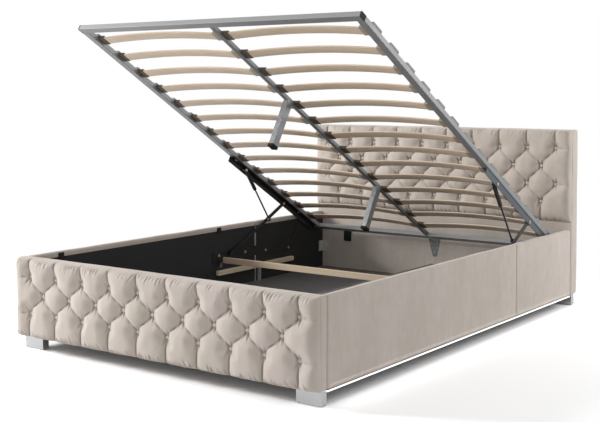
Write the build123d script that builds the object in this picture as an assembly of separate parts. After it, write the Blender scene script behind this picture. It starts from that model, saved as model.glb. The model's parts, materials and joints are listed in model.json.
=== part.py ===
from build123d import *
import math
import os

# Upholstered bed with a storage box under a slatted base that lifts on gas springs.
# X runs across the bed, +Y runs from the footboard to the headboard, +Z is up.
# The origin is on the floor, at the middle of the bed's outer box. The base is modelled raised.

# Box and mattress space
inner_length = 2020.0
inner_width = 1387.0
lining_thickness = 1.0
rail_thickness = 29.5
rail_height = 308.7
foot_height = 53.6
footboard_thickness = 32.6
headboard_thickness = 77.5
headboard_rise = 470.5
headboard_cover = 6.0
board_edge_radius = 8.0
headboard_edge_radius = 12.0

# Tufted pads
button_end_margin = 76.0
footboard_row_pitch = 71.5
footboard_top_margin = 72.0
headboard_row_pitch = 85.0
headboard_top_margin = 87.0
headboard_pad_height = 433.0
pad_base = 15.0
pad_crown = 22.0
pad_edge_radius = 6.0
pad_end_inset = 1.0
pleat_width = 3.0
tuft_depth = 8.0
tuft_floor_radius = 12.5
tuft_mouth_radius = 30.0
button_radius = 11.5
button_thickness = 5.0
button_dome = 4.0
long_row_gaps = 9
footboard_rows = 3
headboard_rows = 4

# Feet and the light strip
foot_width = 101.0
foot_depth = 31.0
foot_side_inset = 9.6
foot_end_inset = 12.0
foot_wall = 2.5
foot_edge = 1.0
glide_thickness = 2.0
glide_inset = 3.0
light_width = 8.0
light_height = 7.0
light_wall = 1.0
light_edge_inset = 0.8
light_end_gap = 2.0

# Joint between the two sections of each side rail
joint_from_headboard = 595.0
joint_gap = 1.5
joint_strip_width = 10.0
fold_depth = 20.0

# Storage floor
floor_rise = 4.7
floor_thickness = 6.0
floor_fit = 0.5
beam_width = 38.0
beam_height = 80.9
beam_tongue = 3.0
beam_foot_radius = 18.0
beam_foot_shares = (0.3, 0.7)

# Cross brace, battens and posts
brace_from_headboard = 862.0
brace_height = 27.0
brace_thickness = 18.0
brace_rise = 135.4
brace_end_gap = 19.0
brace_seat = 1.5
brace_seat_grip = 24.0
batten_from_headboard = 898.0
batten_length = 606.0
batten_height = 22.0
batten_thickness = 18.0
batten_rise = 72.0
batten_hole_radius = 4.0
batten_hole_from_end = 13.0
post_from_headboard = 578.0
post_width = 27.0
post_depth = 22.0
post_wall = 2.0

# Brackets inside the box
corner_leg = 38.0
corner_height = 57.0
corner_rise = 92.0
corner_wall = 2.5
rest_length = 28.0
rest_height = 24.0
rest_ledge_height = 9.7
rest_reach = 8.0
rest_back = 2.4
rest_seat_gap = 0.3
rest_from_footboard = (149.0, 1144.0)
stop_width = 45.0
stop_height = 58.0
stop_thickness = 5.0
stop_from_middle = 529.5
stop_rise = 157.0
hook_top_width = 69.0
hook_tip_width = 20.0
hook_height = 90.0
hook_thickness = 3.0
hook_rise = 120.4
hook_hole_radius = 3.5
hook_hole_rows = 3

# Lifting base
lift_angle = 30.24
base_head_gap = 41.4
base_foot_gap = 4.0
base_side_gap = 5.0
base_sink = 17.3
tube_width = 31.0
tube_height = 21.0
tube_wall = 1.5
cap_thickness = 4.0
cap_plug = 20.0
cap_fit = 0.2
centre_rail_width = 20.0
centre_rail_height = 16.0
slat_count = 14
slat_width = 45.0
slat_thickness = 6.0
slat_sink = 1.6
slat_bow = 14.3
first_slat_from_head = 128.5
last_slat_from_foot = 111.9
holder_reach = 30.0
holder_lip = 3.0
holder_wall = 1.6
holder_cap_length = 64.0
holder_cap_height = 10.0
holder_cap_edge = 3.0
slat_fit = 0.3
slat_grip = 26.5
centre_leg_width = 34.0
centre_leg_depth = 24.0
centre_leg_wall = 1.5
centre_leg_from_head = (569.0, 1376.0)
tip_thickness = 12.0
tip_overhang = 1.5
beam_leg_gap = 0.5

# Lift mechanism, the same on both sides
pivot_from_head = 145.0
pivot_above_base = 12.5
pin_radius = 5.0
pin_clearance = 0.1
nut_radius = 6.8
nut_thickness = 4.5
plate_thickness = 3.0
plate_above_slot = 17.0
plate_below_slot = 33.0
plate_rise = 171.4
plate_from_headboard = 306.0
plate_past_slot = 70.9
upright_width = 24.0
upright_end_radius = 9.0
upright_start_from_headboard = 320.0
upright_start_drop = 24.2
plate_bolt_shares = (0.0725, 0.397, 0.663)
plate_bolt_drops = (0.0, 6.0, 15.9)
bolt_head_radius = 7.0
bolt_head_height = 2.5
arm_gap = 1.0
arm_thickness = 4.0
arm_width = 18.0
arm_length = 475.0
arm_hinge_from_head = 350.0
arm_hinge_drop = 17.0
slot_play = 1.6
gas_pin_on_arm = 155.0
gas_pin_radius = 4.0
angle_side_gap = 5.8
angle_wall = 3.0
angle_drop = 29.5
angle_flange = 24.7
angle_start_from_head = 50.0
angle_end_from_head = 850.0
angle_bolt_shares = (0.204, 0.951)
gas_from_head = 729.0
gas_drop = 15.5
gas_radius = 9.0
gas_tube_length = 124.0
gas_tube_gap = 2.7
rod_radius = 4.0
eye_radius = 8.5
eye_width = 9.0
eye_neck = 14.0
rod_stop_in_tube = 6.0
eye_side_gap = 0.5
rod_fit = 0.1
cut_over = 2.0

# Places worked out from the sizes
half_inner = inner_width / 2
rail_inner = half_inner + lining_thickness
half_width = rail_inner + rail_thickness
button_half_pitch = (half_width - button_end_margin) / long_row_gaps
pad_depth = pad_base + pad_crown
overall_length = pad_depth + footboard_thickness + inner_length + headboard_thickness
board_front = -overall_length / 2 + pad_depth
foot_inner = board_front + footboard_thickness
head_inner = foot_inner + inner_length
rail_low = foot_height
rail_top = foot_height + rail_height
headboard_top = rail_top + headboard_rise
base_under = rail_top - base_sink
base_length = inner_length - base_head_gap - base_foot_gap
base_width = inner_width - 2 * base_side_gap
base_head = head_inner - base_head_gap
pivot_y = base_head - pivot_from_head
pivot_z = base_under + pivot_above_base
floor_low = rail_low + floor_rise
floor_top = floor_low + floor_thickness
beam_top = rail_low + beam_height
centre_leg_length = base_under - beam_top - tip_thickness - beam_leg_gap
slat_pitch = (base_length - first_slat_from_head - last_slat_from_foot) / (slat_count - 1)
plate_inner = half_inner - plate_thickness
angle_outer = plate_inner - angle_side_gap
angle_inner = angle_outer - angle_wall
arm_outer = angle_inner - arm_gap
arm_inner = arm_outer - arm_thickness
gas_middle = arm_inner - gas_tube_gap - gas_radius
tube_outer = base_width / 2
tube_inner = tube_outer - tube_width
slat_rise = tube_height - slat_sink - slat_thickness
centre_rail_rise = tube_height - centre_rail_height
plate_middle = rail_low + plate_rise
lift_axis = Axis((0, pivot_y, pivot_z), (1, 0, 0))


def block(x_low, x_high, y_low, y_high, z_low, z_high):
    """A box between two corners."""
    middle = Pos((x_low + x_high) / 2, (y_low + y_high) / 2, (z_low + z_high) / 2)
    return middle * Box(x_high - x_low, y_high - y_low, z_high - z_low)


def rod_x(radius, x_low, x_high, y, z):
    """A round bar along X."""
    return Pos((x_low + x_high) / 2, y, z) * Rot(0, 90, 0) * Cylinder(radius, x_high - x_low)


def side_block(side, x_low, x_high, *rest):
    """A box given on the right side, put on the side asked for (1 right, -1 left)."""
    if side > 0:
        return block(x_low, x_high, *rest)
    return block(-x_high, -x_low, *rest)


def side_rod(side, radius, x_low, x_high, y, z):
    """A round bar along X, given on the right side."""
    if side > 0:
        return rod_x(radius, x_low, x_high, y, z)
    return rod_x(radius, -x_high, -x_low, y, z)


def raised(shape):
    """Turn a piece of the closed base up to the raised position."""
    return shape.rotate(lift_axis, -lift_angle)


def base_block(x_low, x_high, from_head_low, from_head_high, up_low, up_high):
    """A box of the closed base: distances from its head end and above its underside."""
    return block(
        x_low,
        x_high,
        base_head - from_head_high,
        base_head - from_head_low,
        base_under + up_low,
        base_under + up_high,
    )


def closed_point(from_head, above):
    """Y and Z of a point of the closed base."""
    return base_head - from_head, base_under + above


def open_point(from_head, above):
    """Y and Z of a point of the base when it is raised."""
    y, z = closed_point(from_head, above)
    turn = math.radians(-lift_angle)
    across = y - pivot_y
    up = z - pivot_z
    return (
        pivot_y + across * math.cos(turn) - up * math.sin(turn),
        pivot_z + across * math.sin(turn) + up * math.cos(turn),
    )


def softened(shape, direction, radius, keep=None):
    """Round the edges that run along one axis, or only those that keep() picks."""
    edges = shape.edges().filter_by(direction)
    if keep is not None:
        edges = edges.filter_by(keep)
    return fillet(edges, radius)


# Tufted pads: a thin slab that carries one crowned pillow for each space between the
# buttons, drawn in to a pleat all round, with a round hollow at each button.
# The shares are the sizes and heights of a pillow's sections, from its pleat to its crown.
pillow_size_shares = (1.0, 0.9, 0.7, 0.4)
pillow_rise_shares = (0.0, 0.52, 0.86, 1.0)


def lattice_x(column):
    return (column - long_row_gaps) * button_half_pitch


def button_places(rows):
    """Column and row of each button: long rows and short rows by turns."""
    last = 2 * long_row_gaps
    return [(c, r) for r in range(rows) for c in range(last + 1) if (c + r) % 2 == 0]


def pillow_outlines(rows, row_z, z_low, z_high, x_end):
    """Outline in X and Z of each space between neighbouring buttons, out to the pad's edges."""
    last = 2 * long_row_gaps
    outlines = []
    for r in range(rows):
        above = row_z(r - 1) if r > 0 else z_high
        below = row_z(r + 1) if r < rows - 1 else z_low
        for c in range(last + 1):
            if (c + r) % 2 == 0:
                continue
            here = row_z(r)
            left = lattice_x(c - 1) if c > 0 else -x_end
            right = lattice_x(c + 1) if c < last else x_end
            top = [(lattice_x(c), above)]
            if r == 0 or c in (0, last):
                top = [(left, above), (right, above)]
                if c == 0 and r > 0:
                    top = [(-x_end, above), (lattice_x(c), above)]
                if c == last and r > 0:
                    top = [(lattice_x(c), above), (x_end, above)]
            bottom = [(lattice_x(c), below)]
            if r == rows - 1:
                bottom = [(right, below), (left, below)]
            elif c == 0:
                bottom = [(lattice_x(c), below), (-x_end, below)]
            elif c == last:
                bottom = [(x_end, below), (lattice_x(c), below)]
            outline = list(top)
            if c < last:
                outline.append((right, here))
            outline += bottom
            if c > 0:
                outline.append((left, here))
            outlines.append(outline)
        if r == 0 or (r == rows - 1 and r % 2 == 0):
            edge = z_high if r == 0 else z_low
            for turn in (-1, 1):
                outlines.append(
                    [
                        (turn * x_end, edge),
                        (turn * lattice_x(last), edge),
                        (turn * lattice_x(last), row_z(r)),
                        (turn * x_end, row_z(r)),
                    ]
                )
    return outlines


def pillow(outline, slab_front):
    """One crowned pillow: a ruled loft through ever smaller copies of its outline."""
    middle_x = sum(x for x, z in outline) / len(outline)
    middle_z = sum(z for x, z in outline) / len(outline)
    reach = min(math.hypot(x - middle_x, z - middle_z) for x, z in outline)
    sections = []
    for size, rise in zip(pillow_size_shares, pillow_rise_shares):
        scale = size * (1 - pleat_width / reach)
        y = slab_front - rise * pad_crown
        corners = [
            (middle_x + scale * (x - middle_x), y, middle_z + scale * (z - middle_z))
            for x, z in outline
        ]
        sections.append(make_face(Polyline(*corners, close=True)))
    return loft(sections, ruled=True)


def tufted_pad(back, rows, row_z, z_low, z_high):
    """The whole pad, its back on the plane y = back, its crowns towards -Y."""
    x_end = half_width - pad_end_inset
    slab_front = back - pad_base
    slab = block(-x_end, x_end, slab_front, back, z_low, z_high)
    front_edges = slab.faces().sort_by(Axis.Y)[0].edges()
    slab = fillet(front_edges, pad_edge_radius)
    pillows = [
        pillow(outline, slab_front)
        for outline in pillow_outlines(
            rows, row_z, z_low + pad_edge_radius, z_high - pad_edge_radius, x_end - pad_edge_radius
        )
    ]
    pad = slab.fuse(*pillows)
    depth = tuft_depth + pad_crown + cut_over
    mouth = tuft_mouth_radius + cut_over
    hollows = [
        Pos(lattice_x(c), slab_front + tuft_depth - depth / 2, row_z(r))
        * Rot(90, 0, 0)
        * Cone(tuft_floor_radius, mouth, depth)
        for c, r in button_places(rows)
    ]
    return pad.cut(*hollows)


def pad_buttons(back, rows, row_z):
    """The covered buttons, each a short drum with a domed front, on the hollows' floors."""
    floor_y = back - pad_base + tuft_depth
    dome_radius = (button_radius**2 + button_dome**2) / (2 * button_dome)
    drum = Pos(0, -button_thickness / 2, 0) * Rot(90, 0, 0) * Cylinder(button_radius, button_thickness)
    ball = Pos(0, dome_radius - button_thickness - button_dome, 0) * Sphere(dome_radius)
    reach = button_thickness + button_dome
    keep = Pos(0, -reach / 2, 0) * Rot(90, 0, 0) * Cylinder(button_radius, reach)
    button = drum + (ball & keep)
    return [Pos(lattice_x(c), floor_y, row_z(r)) * button for c, r in button_places(rows)]


def footboard_row_z(row):
    return rail_top - footboard_top_margin - row * footboard_row_pitch


def headboard_row_z(row):
    return headboard_top - headboard_top_margin - row * headboard_row_pitch


def footboard_panel():
    panel = block(-half_width, half_width, board_front, foot_inner, rail_low, rail_top)
    return softened(panel, Axis.Y, board_edge_radius)


def headboard_panel():
    front = head_inner + headboard_cover
    back = head_inner + headboard_thickness
    panel = block(-half_width, half_width, front, back, rail_low, headboard_top)
    back_edges = panel.faces().sort_by(Axis.Y)[-1].edges()
    return fillet(back_edges, headboard_edge_radius)


def headboard_lower_cover():
    top = headboard_top - headboard_pad_height
    return block(-half_width, half_width, head_inner, head_inner + headboard_cover, rail_low, top)


# Side rails: each side has two upholstered sections that meet at a seam.


def rail_section(side, y_low, y_high):
    rail = side_block(side, rail_inner, half_width, y_low, y_high, rail_low, rail_top)
    return softened(rail, Axis.Y, board_edge_radius)


def rail_joint_y():
    return head_inner - joint_from_headboard


def rail_front_section(side):
    return rail_section(side, foot_inner, rail_joint_y() - joint_gap / 2)


def rail_rear_section(side):
    return rail_section(side, rail_joint_y() + joint_gap / 2, head_inner)


def rail_joint_strips():
    """Narrow strips that close the joint between the linings."""
    middle = rail_joint_y()
    half = joint_strip_width / 2
    top = rail_top - fold_depth
    return [
        side_block(side, half_inner, rail_inner, middle - half, middle + half, floor_top, top)
        for side in (-1, 1)
    ]


def side_lining(side):
    """Dark sheets on the rail's inner face, in front of and behind the joint strip."""
    middle = rail_joint_y()
    half = joint_strip_width / 2
    top = rail_top - fold_depth
    return [
        side_block(side, half_inner, rail_inner, foot_inner, middle - half, floor_top, top),
        side_block(side, half_inner, rail_inner, middle + half, head_inner, floor_top, top),
    ]


def light_channel(side):
    """Aluminium channel under the rail's outer edge, open towards the outside."""
    outer = half_width - light_edge_inset
    inner = outer - light_width
    low = rail_low - light_height
    ends = (foot_inner + light_end_gap, head_inner - light_end_gap)
    body = side_block(side, inner, outer, *ends, low, rail_low)
    groove = side_block(
        side,
        inner + light_wall,
        outer + cut_over,
        foot_inner,
        head_inner,
        low + light_wall,
        rail_low - light_wall,
    )
    return body - groove


def light_diffuser(side):
    """Milky strip that fills the channel's groove and stands flush with its lips."""
    outer = half_width - light_edge_inset
    low = rail_low - light_height + light_wall
    ends = (foot_inner + light_end_gap, head_inner - light_end_gap)
    inner = outer - light_width + light_wall
    return side_block(side, inner, outer, *ends, low, rail_low - light_wall)


# Feet: hollow metal blocks on thin glides.


def foot_place(side, end):
    outer = half_width - foot_side_inset
    if end == "front":
        y_low = board_front + foot_end_inset
    else:
        y_low = head_inner + headboard_thickness - foot_end_inset - foot_depth
    return outer - foot_width, outer, y_low, y_low + foot_depth


def foot(side, end):
    x_low, x_high, y_low, y_high = foot_place(side, end)
    body = side_block(side, x_low, x_high, y_low, y_high, glide_thickness, foot_height)
    body = softened(body, Axis.Z, foot_edge)
    hollow = side_block(
        side,
        x_low + foot_wall,
        x_high - foot_wall,
        y_low + foot_wall,
        y_high - foot_wall,
        glide_thickness + foot_wall,
        foot_height + cut_over,
    )
    return body - hollow


def foot_glides():
    glides = []
    for side in (-1, 1):
        for end in ("front", "rear"):
            x_low, x_high, y_low, y_high = foot_place(side, end)
            glides.append(
                side_block(
                    side,
                    x_low + glide_inset,
                    x_high - glide_inset,
                    y_low + glide_inset,
                    y_high - glide_inset,
                    0,
                    glide_thickness,
                )
            )
    return glides


# Storage floor: two panels that lie on rail ledges and in the grooves of a middle beam.


def centre_beam():
    """The beam carries the base's middle legs when the base is down."""
    half = beam_width / 2
    beam = block(-half, half, foot_inner, head_inner, rail_low, beam_top)
    for side in (-1, 1):
        groove = side_block(
            side, half - beam_tongue, half + cut_over, foot_inner, head_inner, floor_low, floor_top
        )
        beam = beam - groove
    return beam


def floor_panel(side):
    inner = beam_width / 2 - beam_tongue + floor_fit
    ends = (foot_inner + floor_fit, head_inner - floor_fit)
    return side_block(side, inner, rail_inner, *ends, floor_low, floor_top)


def floor_ledges():
    """Strips along the rails that the floor panels lie on."""
    return [
        side_block(side, rail_inner - tube_width, rail_inner, foot_inner, head_inner, rail_low, floor_low)
        for side in (-1, 1)
    ]


def centre_beam_feet():
    feet = []
    for share in beam_foot_shares:
        y = foot_inner + share * inner_length
        feet.append(Pos(0, y, rail_low / 2) * Cylinder(beam_foot_radius, rail_low))
    return feet


# Cross brace, battens and posts in the box.


def cross_brace():
    y = head_inner - brace_from_headboard
    low = rail_low + brace_rise
    end = half_inner - brace_end_gap
    return block(-end, end, y - brace_thickness / 2, y + brace_thickness / 2, low, low + brace_height)


def brace_brackets():
    """Angle seats under the brace's ends."""
    y = head_inner - brace_from_headboard
    low = rail_low + brace_rise
    end = half_inner - brace_end_gap
    half = brace_thickness / 2
    pieces = []
    for side in (-1, 1):
        seat = side_block(side, end - brace_seat_grip, half_inner, y - half, y + half, low - brace_seat, low)
        back = side_block(
            side,
            half_inner - brace_seat,
            half_inner,
            y - half,
            y + half,
            low - brace_seat - post_depth,
            low,
        )
        pieces.append(seat + back)
    return pieces


def rail_battens():
    """Battens on the rails, with a bolt hole near each end."""
    start = head_inner - batten_from_headboard
    end = start + batten_length
    low = floor_low + batten_rise
    face = half_inner - batten_thickness
    battens = []
    for side in (-1, 1):
        batten = side_block(side, face, half_inner, start, end, low, low + batten_height)
        for y in (start + batten_hole_from_end, end - batten_hole_from_end):
            batten = batten - side_rod(
                side,
                batten_hole_radius,
                face - cut_over,
                half_inner + cut_over,
                y,
                low + batten_height / 2,
            )
        battens.append(batten)
    return battens


def joint_posts():
    """Galvanised angles between the storage floor and the battens, beside the rail joint."""
    start = head_inner - post_from_headboard
    top = floor_low + batten_rise
    posts = []
    for side in (-1, 1):
        outer = side_block(
            side, half_inner - post_depth, half_inner, start, start + post_width, floor_top, top
        )
        inner = side_block(
            side,
            half_inner - post_depth - cut_over,
            half_inner - post_wall,
            start + post_wall,
            start + post_width + cut_over,
            floor_top - cut_over,
            top + cut_over,
        )
        posts.append(outer - inner)
    return posts


def corner_brackets():
    """An angle in each inner corner that ties a side rail to the board beside it."""
    low = rail_low + corner_rise
    brackets = []
    for side in (-1, 1):
        for wall, inward in ((foot_inner, 1), (head_inner, -1)):
            y_ends = sorted((wall, wall + inward * corner_leg))
            y_thin = sorted((wall, wall + inward * corner_wall))
            along = side_block(
                side, half_inner - corner_wall, half_inner, *y_ends, low, low + corner_height
            )
            across = side_block(
                side, half_inner - corner_leg, half_inner, *y_thin, low, low + corner_height
            )
            brackets.append(along + across)
    return brackets


def base_rests():
    """Small brackets high on the rails that carry the base's side tubes when it is down."""
    seat = base_under - rest_seat_gap
    low = seat - rest_ledge_height
    rests = []
    for side in (-1, 1):
        for start in rest_from_footboard:
            y = foot_inner + start
            ends = (y - rest_length / 2, y + rest_length / 2)
            back = side_block(side, half_inner - rest_back, half_inner, *ends, low, low + rest_height)
            ledge = side_block(side, half_inner - rest_reach, half_inner, *ends, low, seat)
            rests.append(back + ledge)
    return rests


def headboard_stops():
    low = rail_low + stop_rise
    half = stop_width / 2
    ends = (head_inner - stop_thickness, head_inner)
    return [
        side_block(
            side, stop_from_middle - half, stop_from_middle + half, *ends, low, low + stop_height
        )
        for side in (-1, 1)
    ]


def centre_hook_bracket():
    """Pierced plate, wide at its top, on the headboard under the middle of the base."""
    low = rail_low + hook_rise
    top = low + hook_height
    outline = Polyline(
        (-hook_top_width / 2, head_inner, top),
        (hook_top_width / 2, head_inner, top),
        (hook_tip_width / 2, head_inner, low),
        (-hook_tip_width / 2, head_inner, low),
        close=True,
    )
    plate = extrude(make_face(outline), hook_thickness, dir=(0, -1, 0))
    step = hook_height / (hook_hole_rows + 1)
    for row in range(hook_hole_rows):
        z = top - (row + 1) * step
        for turn in ((-1, 1) if row < hook_hole_rows - 1 else (0,)):
            x = turn * (hook_tip_width / 2 + (hook_hole_rows - 1 - row) * hook_hole_radius)
            hole = Pos(x, head_inner, z) * Rot(90, 0, 0) * Cylinder(hook_hole_radius, 2 * hook_tip_width)
            plate = plate - hole
    return plate


# Lift mechanism. All its points are in the Y and Z plane, on both sides of the bed.


def arm_hinge_open():
    return open_point(arm_hinge_from_head, -arm_hinge_drop)


def arm_foot(hinge):
    """The arm's foot stays at the height of the plate's slot."""
    y, z = hinge
    drop = z - plate_middle
    return y - math.sqrt(arm_length**2 - drop**2), plate_middle


def arm_foot_open():
    return arm_foot(arm_hinge_open())


def arm_foot_closed():
    return arm_foot(closed_point(arm_hinge_from_head, -arm_hinge_drop))


def gas_on_arm_open():
    """Point on the arm, between its hinge and its foot, where the gas spring pushes."""
    hinge = arm_hinge_open()
    foot_point = arm_foot_open()
    along = gas_pin_on_arm / arm_length
    return tuple(h + along * (f - h) for h, f in zip(hinge, foot_point))


def gas_on_base_open():
    return open_point(gas_from_head, -gas_drop)


def flat_bar(side, start, end, x_low, x_high, start_radius, end_radius):
    """A flat bar with round ends between two points given as Y and Z."""
    bar = side_rod(side, start_radius, x_low, x_high, *start)
    bar = bar + side_rod(side, end_radius, x_low, x_high, *end)
    length = math.hypot(end[0] - start[0], end[1] - start[1])
    lean = math.asin((start_radius - end_radius) / length)
    line = math.atan2(end[1] - start[1], end[0] - start[0])
    corners = []
    for centre, radius, turn in (
        (start, start_radius, 1),
        (end, end_radius, 1),
        (end, end_radius, -1),
        (start, start_radius, -1),
    ):
        angle = line + turn * (math.pi / 2 - lean)
        corners.append(
            (0, centre[0] + radius * math.cos(angle), centre[1] + radius * math.sin(angle))
        )
    web = extrude(make_face(Polyline(*corners, close=True)), x_high - x_low, dir=(1, 0, 0))
    shift = x_low if side > 0 else -x_high
    return bar + Pos(shift, 0, 0) * web


def plate_ends():
    """The plate runs from past the slot to a fixed distance from the headboard."""
    return arm_foot_closed()[0] - plate_past_slot, head_inner - plate_from_headboard


def lift_plate(side):
    """Plate on the rail: a band with the slot for the arm's foot, and an upright to the pivot."""
    start, end = plate_ends()
    band = side_block(
        side,
        plate_inner,
        half_inner,
        start,
        end,
        plate_middle - plate_below_slot,
        plate_middle + plate_above_slot,
    )
    band = softened(band, Axis.X, board_edge_radius)
    upright = flat_bar(
        side,
        (head_inner - upright_start_from_headboard, plate_middle - upright_start_drop),
        (pivot_y, pivot_z),
        plate_inner,
        half_inner,
        upright_width / 2,
        upright_end_radius,
    )
    slot_radius = pin_radius + slot_play
    far, near = arm_foot_closed()[0], arm_foot_open()[0]
    slot = flat_bar(
        side,
        (far, plate_middle),
        (near, plate_middle),
        plate_inner - cut_over,
        half_inner + cut_over,
        slot_radius,
        slot_radius,
    )
    return band + upright - slot


def plate_bolts():
    """Bolt heads on the lift plates."""
    heads = []
    start, end = plate_ends()
    for side in (-1, 1):
        for share, drop in zip(plate_bolt_shares, plate_bolt_drops):
            heads.append(
                side_rod(
                    side,
                    bolt_head_radius,
                    plate_inner - bolt_head_height,
                    plate_inner,
                    start + share * (end - start),
                    plate_middle - drop,
                )
            )
        heads.append(
            side_rod(
                side,
                bolt_head_radius,
                plate_inner - bolt_head_height,
                plate_inner,
                head_inner - upright_start_from_headboard,
                plate_middle - upright_start_drop,
            )
        )
    return heads


def pivot_pins():
    """Pins fixed in the lift plates. The base's side tubes turn on them, each held by a collar."""
    pins = []
    collar_outer = tube_outer - tube_wall - rest_seat_gap
    for side in (-1, 1):
        pin = side_rod(side, pin_radius, tube_inner + rest_seat_gap, plate_inner, pivot_y, pivot_z)
        collar = side_rod(
            side, nut_radius, collar_outer - nut_thickness, collar_outer, pivot_y, pivot_z
        )
        pins.append(pin + collar)
    return pins


def lift_arm(side):
    """Flat arm: hinged on the base's angle, with a foot stud in the plate's slot."""
    hinge = arm_hinge_open()
    foot_point = arm_foot_open()
    arm = flat_bar(side, hinge, foot_point, arm_inner, arm_outer, arm_width / 2, arm_width / 2)
    arm = arm - side_rod(
        side, pin_radius + pin_clearance, arm_inner - cut_over, arm_outer + cut_over, *hinge
    )
    arm = arm + side_rod(side, pin_radius, arm_inner, half_inner - rest_seat_gap, *foot_point)
    eye_outer = gas_middle + eye_width / 2
    arm = arm + side_rod(
        side, gas_pin_radius, eye_outer + eye_side_gap, arm_outer, *gas_on_arm_open()
    )
    return arm


def spring_frame(side):
    """Place at the gas spring's upper eye, with local +X along the spring towards the arm."""
    top = gas_on_base_open()
    bottom = gas_on_arm_open()
    angle = math.degrees(math.atan2(bottom[1] - top[1], bottom[0] - top[0]))
    return Pos(side * gas_middle, *top) * Rot(angle, 0, 0) * Rot(0, 0, 90)


def gas_spring_length():
    top = gas_on_base_open()
    bottom = gas_on_arm_open()
    return math.hypot(bottom[0] - top[0], bottom[1] - top[1])


def eye(at):
    """Round eye of a gas spring, its hole across the spring."""
    ring = Pos(at, 0, 0) * Rot(90, 0, 0) * Cylinder(eye_radius, eye_width)
    return ring


def eye_hole(at, radius):
    return Pos(at, 0, 0) * Rot(90, 0, 0) * Cylinder(radius, eye_width + 2 * cut_over)


def gas_cylinder(side):
    """Pressure tube with its eye at the base's stud and a bore for the rod."""
    neck = Pos(eye_neck / 2, 0, 0) * Rot(0, 90, 0) * Cylinder(rod_radius, eye_neck)
    tube_start = eye_neck
    tube_end = gas_tube_length
    tube = Pos((tube_start + tube_end) / 2, 0, 0) * Rot(0, 90, 0) * Cylinder(
        gas_radius, tube_end - tube_start
    )
    body = eye(0) + neck + tube - eye_hole(0, gas_pin_radius + pin_clearance)
    bore_start = tube_start + gas_radius
    bore = Pos((bore_start + tube_end + cut_over) / 2, 0, 0) * Rot(0, 90, 0) * Cylinder(
        rod_radius + rod_fit, tube_end + cut_over - bore_start
    )
    return spring_frame(side) * (body - bore)


def gas_rod(side):
    """Polished rod that slides in the tube, with its eye beside the arm's stud."""
    length = gas_spring_length()
    start = gas_tube_length - rod_stop_in_tube
    rod = Pos((start + length) / 2, 0, 0) * Rot(0, 90, 0) * Cylinder(rod_radius, length - start)
    return spring_frame(side) * (rod + eye(length))


# Base frame of rectangular steel tube, modelled closed and then raised.


def side_tube(side):
    """Side tube of the base, with the hole for the pivot pin."""
    low = tube_inner
    end = base_length - tube_width
    outer = side_bar(side, low, tube_outer, 0, end, 0, tube_height)
    inner = side_bar(
        side,
        low + tube_wall,
        tube_outer - tube_wall,
        -cut_over,
        end + cut_over,
        tube_wall,
        tube_height - tube_wall,
    )
    hole = side_rod(
        side, pin_radius + pin_clearance, low - cut_over, tube_outer + cut_over, pivot_y, pivot_z
    )
    return outer - inner - hole


def side_bar(side, x_low, x_high, *rest):
    if side > 0:
        return base_block(x_low, x_high, *rest)
    return base_block(-x_high, -x_low, *rest)


def cross_tube(half_length, start):
    """A tube across the base, open at both ends."""
    outer = base_block(-half_length, half_length, start, start + tube_width, 0, tube_height)
    inner = base_block(
        -half_length - cut_over,
        half_length + cut_over,
        start + tube_wall,
        start + tube_width - tube_wall,
        tube_wall,
        tube_height - tube_wall,
    )
    return outer - inner


def centre_rail():
    """Smaller tube between the cross tubes, its top level with theirs."""
    half = centre_rail_width / 2
    ends = (tube_width, base_length - tube_width)
    outer = base_block(-half, half, *ends, centre_rail_rise, tube_height)
    inner = base_block(
        -half + tube_wall,
        half - tube_wall,
        ends[0] - cut_over,
        ends[1] + cut_over,
        centre_rail_rise + tube_wall,
        tube_height - tube_wall,
    )
    return outer - inner


def tube_end_caps():
    """Plastic plugs in the open ends of the foot tube and the side tubes."""
    caps = []
    low = tube_inner
    inset = tube_wall + cap_fit
    for side in (-1, 1):
        start = base_length - tube_width
        head = side_bar(
            side, tube_outer - cap_thickness, tube_outer, start, base_length, 0, tube_height
        )
        plug = side_bar(
            side,
            tube_outer - cap_thickness - cap_plug,
            tube_outer - cap_thickness,
            start + inset,
            base_length - inset,
            inset,
            tube_height - inset,
        )
        caps.append(head + plug)
        head = side_bar(side, low, tube_outer, -cap_thickness, 0, 0, tube_height)
        plug = side_bar(
            side, low + inset, tube_outer - inset, 0, cap_plug, inset, tube_height - inset
        )
        caps.append(head + plug)
    return caps


# Bowed slats, each held by a holder on a side tube and a double holder on the centre rail.


def slat_places():
    return [first_slat_from_head + i * slat_pitch for i in range(slat_count)]


def slats(side):
    """Slats with flat ends in the holders, bowed up in an arc between them."""
    end_gap = holder_wall + slat_fit
    inner = centre_rail_width / 2 + end_gap
    outer = tube_inner - end_gap
    low = base_under + slat_rise
    high = low + slat_thickness
    middle = (inner + outer) / 2
    pieces = []
    for start in slat_places():
        y = base_head - start - slat_width / 2
        start_x = inner + slat_grip + holder_wall
        end_x = outer - slat_grip - holder_wall
        lower = ThreePointArc((start_x, y, low), (middle, y, low + slat_bow), (end_x, y, low))
        upper = ThreePointArc((start_x, y, high), (middle, y, high + slat_bow), (end_x, y, high))
        near = Polyline((start_x, y, low), (inner, y, low), (inner, y, high), (start_x, y, high))
        far = Polyline((end_x, y, low), (outer, y, low), (outer, y, high), (end_x, y, high))
        profile = make_face([*lower.edges(), *upper.edges(), *near.edges(), *far.edges()])
        slat = extrude(profile, slat_width, dir=(0, 1, 0))
        if side < 0:
            slat = mirror(slat, Plane.YZ)
        pieces.append(slat)
    return pieces


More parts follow.
